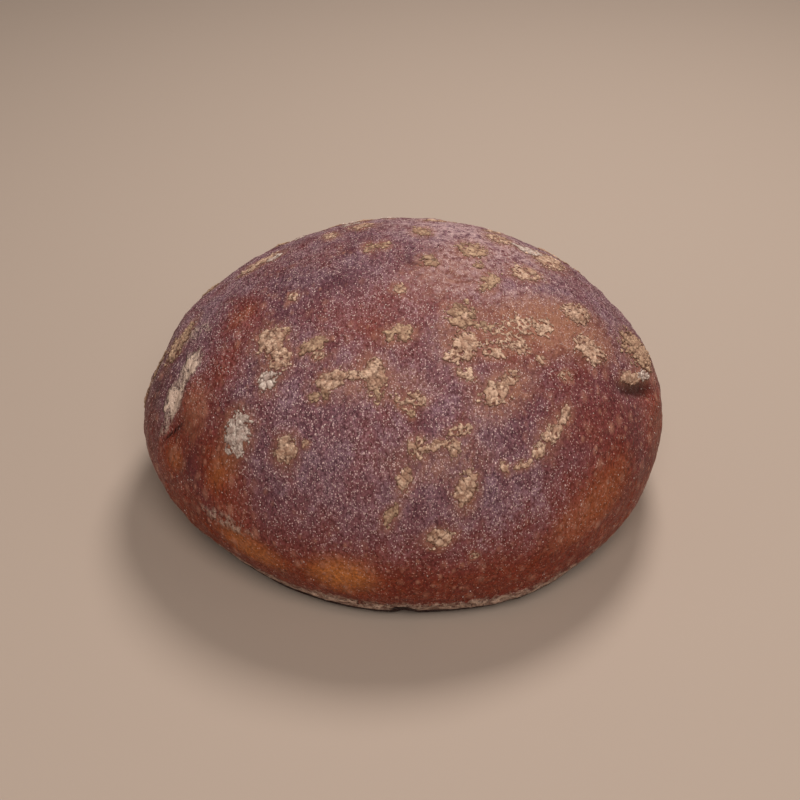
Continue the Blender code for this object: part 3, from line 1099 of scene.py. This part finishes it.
    def shape(self, cake: Cake, number: int, skin: Skin) -> bpy.types.Object:
        """Shapes one cake from a fine grid laid on the crust.

        Args:
            cake: The cake.
            number: Its number, which sets its chances.
            skin: The crust under it.

        Returns:
            The cake, open below, with the attribute lift, its height over the crust from 0 to 1.
        """
        deselect()
        spans = [self.margin * cake.length, self.margin * cake.width]
        grid = self.grid_mm if number < len(self.front) else self.far_grid_mm
        cuts = [max(int(span / grid), 4) for span in spans]
        bpy.ops.mesh.primitive_grid_add(x_subdivisions=cuts[0], y_subdivisions=cuts[1], size=1)
        thing = bpy.context.view_layer.objects.active
        mesh = thing.data
        middle, along, across, _ = skin.axes(cake.place, cake.turn)
        dice = random.Random(self.seed * 1000 + number)
        start = Vector([dice.uniform(0, 90) for _ in range(3)])
        lifts, tones = [], []
        for vertex in mesh.vertices:
            flat = Vector((vertex.co.x * spans[0], vertex.co.y * spans[1], 0))
            height, tone = self.height(cake, flat, start)
            ground, normal = skin.near(middle + (along * flat.x + across * flat.y) * MM)
            vertex.co = ground + normal * height * MM
            lifts.append(height / (cake.thick * self.lift))
            tones.append(tone)
        for name, values in (("lift", lifts), ("tone", tones)):
            attribute = mesh.attributes.new(name, "FLOAT", "POINT")
            attribute.data.foreach_set("value", values)
        return thing

    def height(self, cake: Cake, flat: Vector, start: Vector) -> tuple[float, float]:
        """How high a cake stands over the crust, and how toasted it is there.

        Args:
            cake: The cake.
            flat: The point in the cake's own plane, in mm.
            start: Where in the noise this cake begins.

        Returns:
            The height in mm, below nought where the crust is bare, and the tone from 0 to 1.
        """
        drawn = Vector((flat.x / cake.stretch, flat.y, 0))
        plates, _ = noise.voronoi(drawn / (cake.cell * self.spacing) + start)
        near, lumps = noise.voronoi(flat / self.lump_mm + start)
        chance = math.modf(abs(lumps[0].x * SCRAMBLE_X + lumps[0].y * SCRAMBLE_Y) * SCRAMBLE)[0]
        spread = (2 * flat.x / cake.length) ** 2 + (2 * flat.y / cake.width) ** 2
        edge = self.swell - spread + noise.noise(drawn / self.edge_mm + start)
        edge += self.fringe * noise.noise(drawn / self.fringe_mm + start)
        kept = self.least_whole + (1 - self.least_whole) * cake.whole
        whole = kept if edge > 0 else self.stray if edge > self.stray_edge else 0
        if chance > whole:
            return -self.sunk_mm, chance
        crack = min((plates[1] - plates[0]) * cake.cell * self.spacing / self.crack_mm, 1)
        lump = min((near[1] - near[0]) / self.lump_gap, 1)
        crumb = noise.noise(flat / self.crumb_mm + start)
        wave = noise.noise(drawn / self.wave_mm + start)
        rough = self.crumb * crumb + self.wave * wave + self.uneven * (chance - 0.5)
        rim = self.rim_height + (1 - self.rim_height) * min(abs(edge) / self.rim, 1)
        top = self.lift * cake.thick * (1 + rough) * rim
        top *= 1 - self.lump_depth * (1 - cake.cracked) * (1 - lump)
        top *= 1 - cake.cracked * (1 - crack)
        return top - self.buried_mm, chance

    def close(self, thing: bpy.types.Object) -> None:
        """Takes away what lies under the crust, gives the rest a body and smooths it.

        Args:
            thing: The joined cakes.
        """
        pick(thing)
        bpy.ops.object.mode_set(mode="EDIT")
        bpy.ops.mesh.select_all(action="DESELECT")
        bm = bmesh.from_edit_mesh(thing.data)
        lift = bm.verts.layers.float["lift"]
        for face in bm.faces:
            face.select_set(all(v[lift] < 0 for v in face.verts))
        bmesh.update_edit_mesh(thing.data)
        bpy.ops.mesh.delete(type="FACE")
        bpy.ops.mesh.select_all(action="SELECT")
        bpy.ops.mesh.delete_loose(use_verts=True, use_edges=True, use_faces=False)
        bpy.ops.object.mode_set(mode="OBJECT")
        bpy.ops.object.modifier_add(type="SOLIDIFY")
        modifier = thing.modifiers[-1]
        modifier.thickness = self.body_mm * MM
        modifier.offset = -1
        bpy.ops.object.modifier_apply(modifier=modifier.name)
        bpy.ops.object.shade_smooth()


@dataclass
class Crumbs:
    """Loose grains of flour on the crust, flattened and uneven, most of them small."""

    skin: Skin
    count: int = 2600
    seed: int = 5
    smallest_mm: float = 0.28
    largest_mm: float = 0.75
    rarity: int = 3
    lowest: float = -0.25
    shape: tuple[float, float, float] = (1.15, 0.9, 0.55)
    uneven: float = 0.12

    def build(self) -> bpy.types.Object:
        """Shapes one grain, copies it over the crust and joins the copies.

        Returns:
            The grains as one object.
        """
        grain = self.grain()
        corners = np.array([v.co for v in grain.data.vertices])
        faces = [tuple(p.vertices) for p in grain.data.polygons]
        bpy.data.objects.remove(grain)
        dice = random.Random(self.seed)
        all_corners, all_faces = [], []
        for number in range(self.count):
            azimuth = dice.uniform(-180, 180)
            place = Place(azimuth, math.degrees(math.asin(dice.uniform(self.lowest, 1))))
            point, normal = self.skin.at(place)
            growth = dice.random() ** self.rarity
            size = MM * self.smallest_mm * (self.largest_mm / self.smallest_mm) ** growth
            level = normal.orthogonal().normalized()
            level.rotate(Quaternion(normal, dice.uniform(0, 2 * math.pi)))
            side = normal.cross(level)
            axes = (level, side, normal)
            turned = sum(np.outer(corners[:, i], axis) for i, axis in enumerate(axes))
            start = number * len(corners)
            all_corners.append(np.array(point) + turned * size)
            all_faces.extend(tuple(i + start for i in f) for f in faces)
        mesh = bpy.data.meshes.new("flour_grains")
        mesh.from_pydata(np.concatenate(all_corners).tolist(), [], all_faces)
        thing = bpy.data.objects.new("flour_grains", mesh)
        bpy.context.scene.collection.objects.link(thing)
        mesh.shade_smooth()
        attribute = mesh.attributes.new("lift", "FLOAT", "POINT")
        attribute.data.foreach_set("value", np.ones(len(mesh.vertices), np.float32))
        # the third colour is the painted shade in the pits
        mesh.materials.append(DriedFlour("loose flour grains", "#d9c1b6", "#c0a195", "#8d7064").build())
        return thing

    def grain(self) -> bpy.types.Object:
        """Shapes one flattened, uneven grain of unit size.

        Returns:
            The grain.
        """
        deselect()
        bpy.ops.mesh.primitive_ico_sphere_add(subdivisions=1, radius=0.5)
        thing = bpy.context.view_layer.objects.active
        bpy.ops.object.mode_set(mode="EDIT")
        bpy.ops.mesh.select_all(action="SELECT")
        bpy.ops.transform.resize(value=self.shape)
        bpy.ops.transform.vertex_random(offset=self.uneven, seed=self.seed)
        bpy.ops.object.mode_set(mode="OBJECT")
        return thing


@dataclass
class Studio:
    """A plain pale floor, soft light from above and a little behind, and the camera of the photo."""

    elevation: float = 35.0
    focal_px: float = 1270.0
    picture_px: float = 800.0
    distance: float = 0.5965
    shift_x: float = -0.0017
    shift_up: float = 0.0327
    floor_colour: str = "#b7a08e"
    sensor_mm: float = 36.0
    nearest: float = 0.01
    floor_size: float = 8.0
    floor_roughness: float = 0.8
    aim: float = 0.05
    room_colour: str = "#f4efe9"
    room_light: float = 0.10

    def build(self) -> None:
        """Sets up the floor, the lights and the camera."""
        self.floor()
        self.lamps()
        self.camera()

    def floor(self) -> None:
        """Lays a plain matt floor under the loaf, which takes its soft shadow and shines nowhere."""
        deselect()
        bpy.ops.mesh.primitive_plane_add(size=self.floor_size)
        thing = bpy.context.view_layer.objects.active
        thing.name = "floor"
        material = bpy.data.materials.new("plain matt floor")
        material.use_nodes = True
        shader = material.node_tree.nodes["Principled BSDF"]
        shader.inputs["Base Color"].default_value = linear(self.floor_colour)
        shader.inputs["Roughness"].default_value = self.floor_roughness
        thing.data.materials.append(material)

    def lamps(self) -> None:
        """Hangs a soft lamp above and behind, and larger ones in front and to the sides."""
        # a row is a lamp's name, place, width in metres and power in watts
        for name, spot, size, power in (
            ("key", Vector((0.20, 0.50, 1.0)), 0.36, 8.0),
            ("front", Vector((0.10, -0.92, 1.12)), 0.9, 10.8),
            ("left", Vector((-1.0, -0.5, 0.5)), 0.7, 0.8),
            ("right", Vector((1.0, -0.5, 0.5)), 0.7, 1.0),
        ):
            light = bpy.data.lights.new(name, "AREA")
            light.shape = "DISK"
            light.size = size
            light.energy = power
            lamp = bpy.data.objects.new(name, light)
            lamp.location = spot
            lamp.rotation_euler = (Vector((0, 0, self.aim)) - spot).to_track_quat("-Z", "Y").to_euler()
            bpy.context.scene.collection.objects.link(lamp)
        world = bpy.data.worlds.new("soft room")
        world.use_nodes = True
        background = world.node_tree.nodes["Background"]
        background.inputs["Color"].default_value = linear(self.room_colour)
        background.inputs["Strength"].default_value = self.room_light
        bpy.context.scene.world = world
        bpy.context.scene.view_settings.view_transform = "Standard"

    def camera(self) -> None:
        """Places the camera where the photo was taken from."""
        e = math.radians(self.elevation)
        back = Vector((0, -math.cos(e), math.sin(e)))
        up = Vector((0, math.sin(e), math.cos(e)))
        data = bpy.data.cameras.new("camera")
        data.sensor_width = self.sensor_mm
        data.lens = self.focal_px * self.sensor_mm / self.picture_px
        data.clip_start = self.nearest
        thing = bpy.data.objects.new("camera", data)
        thing.location = Vector((self.shift_x, 0, 0)) + up * self.shift_up + back * self.distance
        thing.rotation_euler = (math.radians(90) - e, 0, 0)
        bpy.context.scene.collection.objects.link(thing)
        bpy.context.scene.camera = thing


def main() -> None:
    """Builds the loaf's pieces in order and reports each."""
    logging.basicConfig(level=logging.INFO, format="%(message)s")
    Studio().build()
    flour = FlourCakes()
    cakes = flour.cakes()
    crust = Crust().build(cakes)
    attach(crust, "root")
    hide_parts("loaf")
    skin = Skin(crust)
    pieces = [*flour.build(skin, cakes), Crumbs(skin).build()]
    for piece in pieces:
        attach(piece, "root")
    for piece in [crust, *pieces]:
        piece.data.calc_loop_triangles()
        log.info("%s: %d triangles", piece.name, len(piece.data.loop_triangles))


if __name__ == "__main__":
    main()
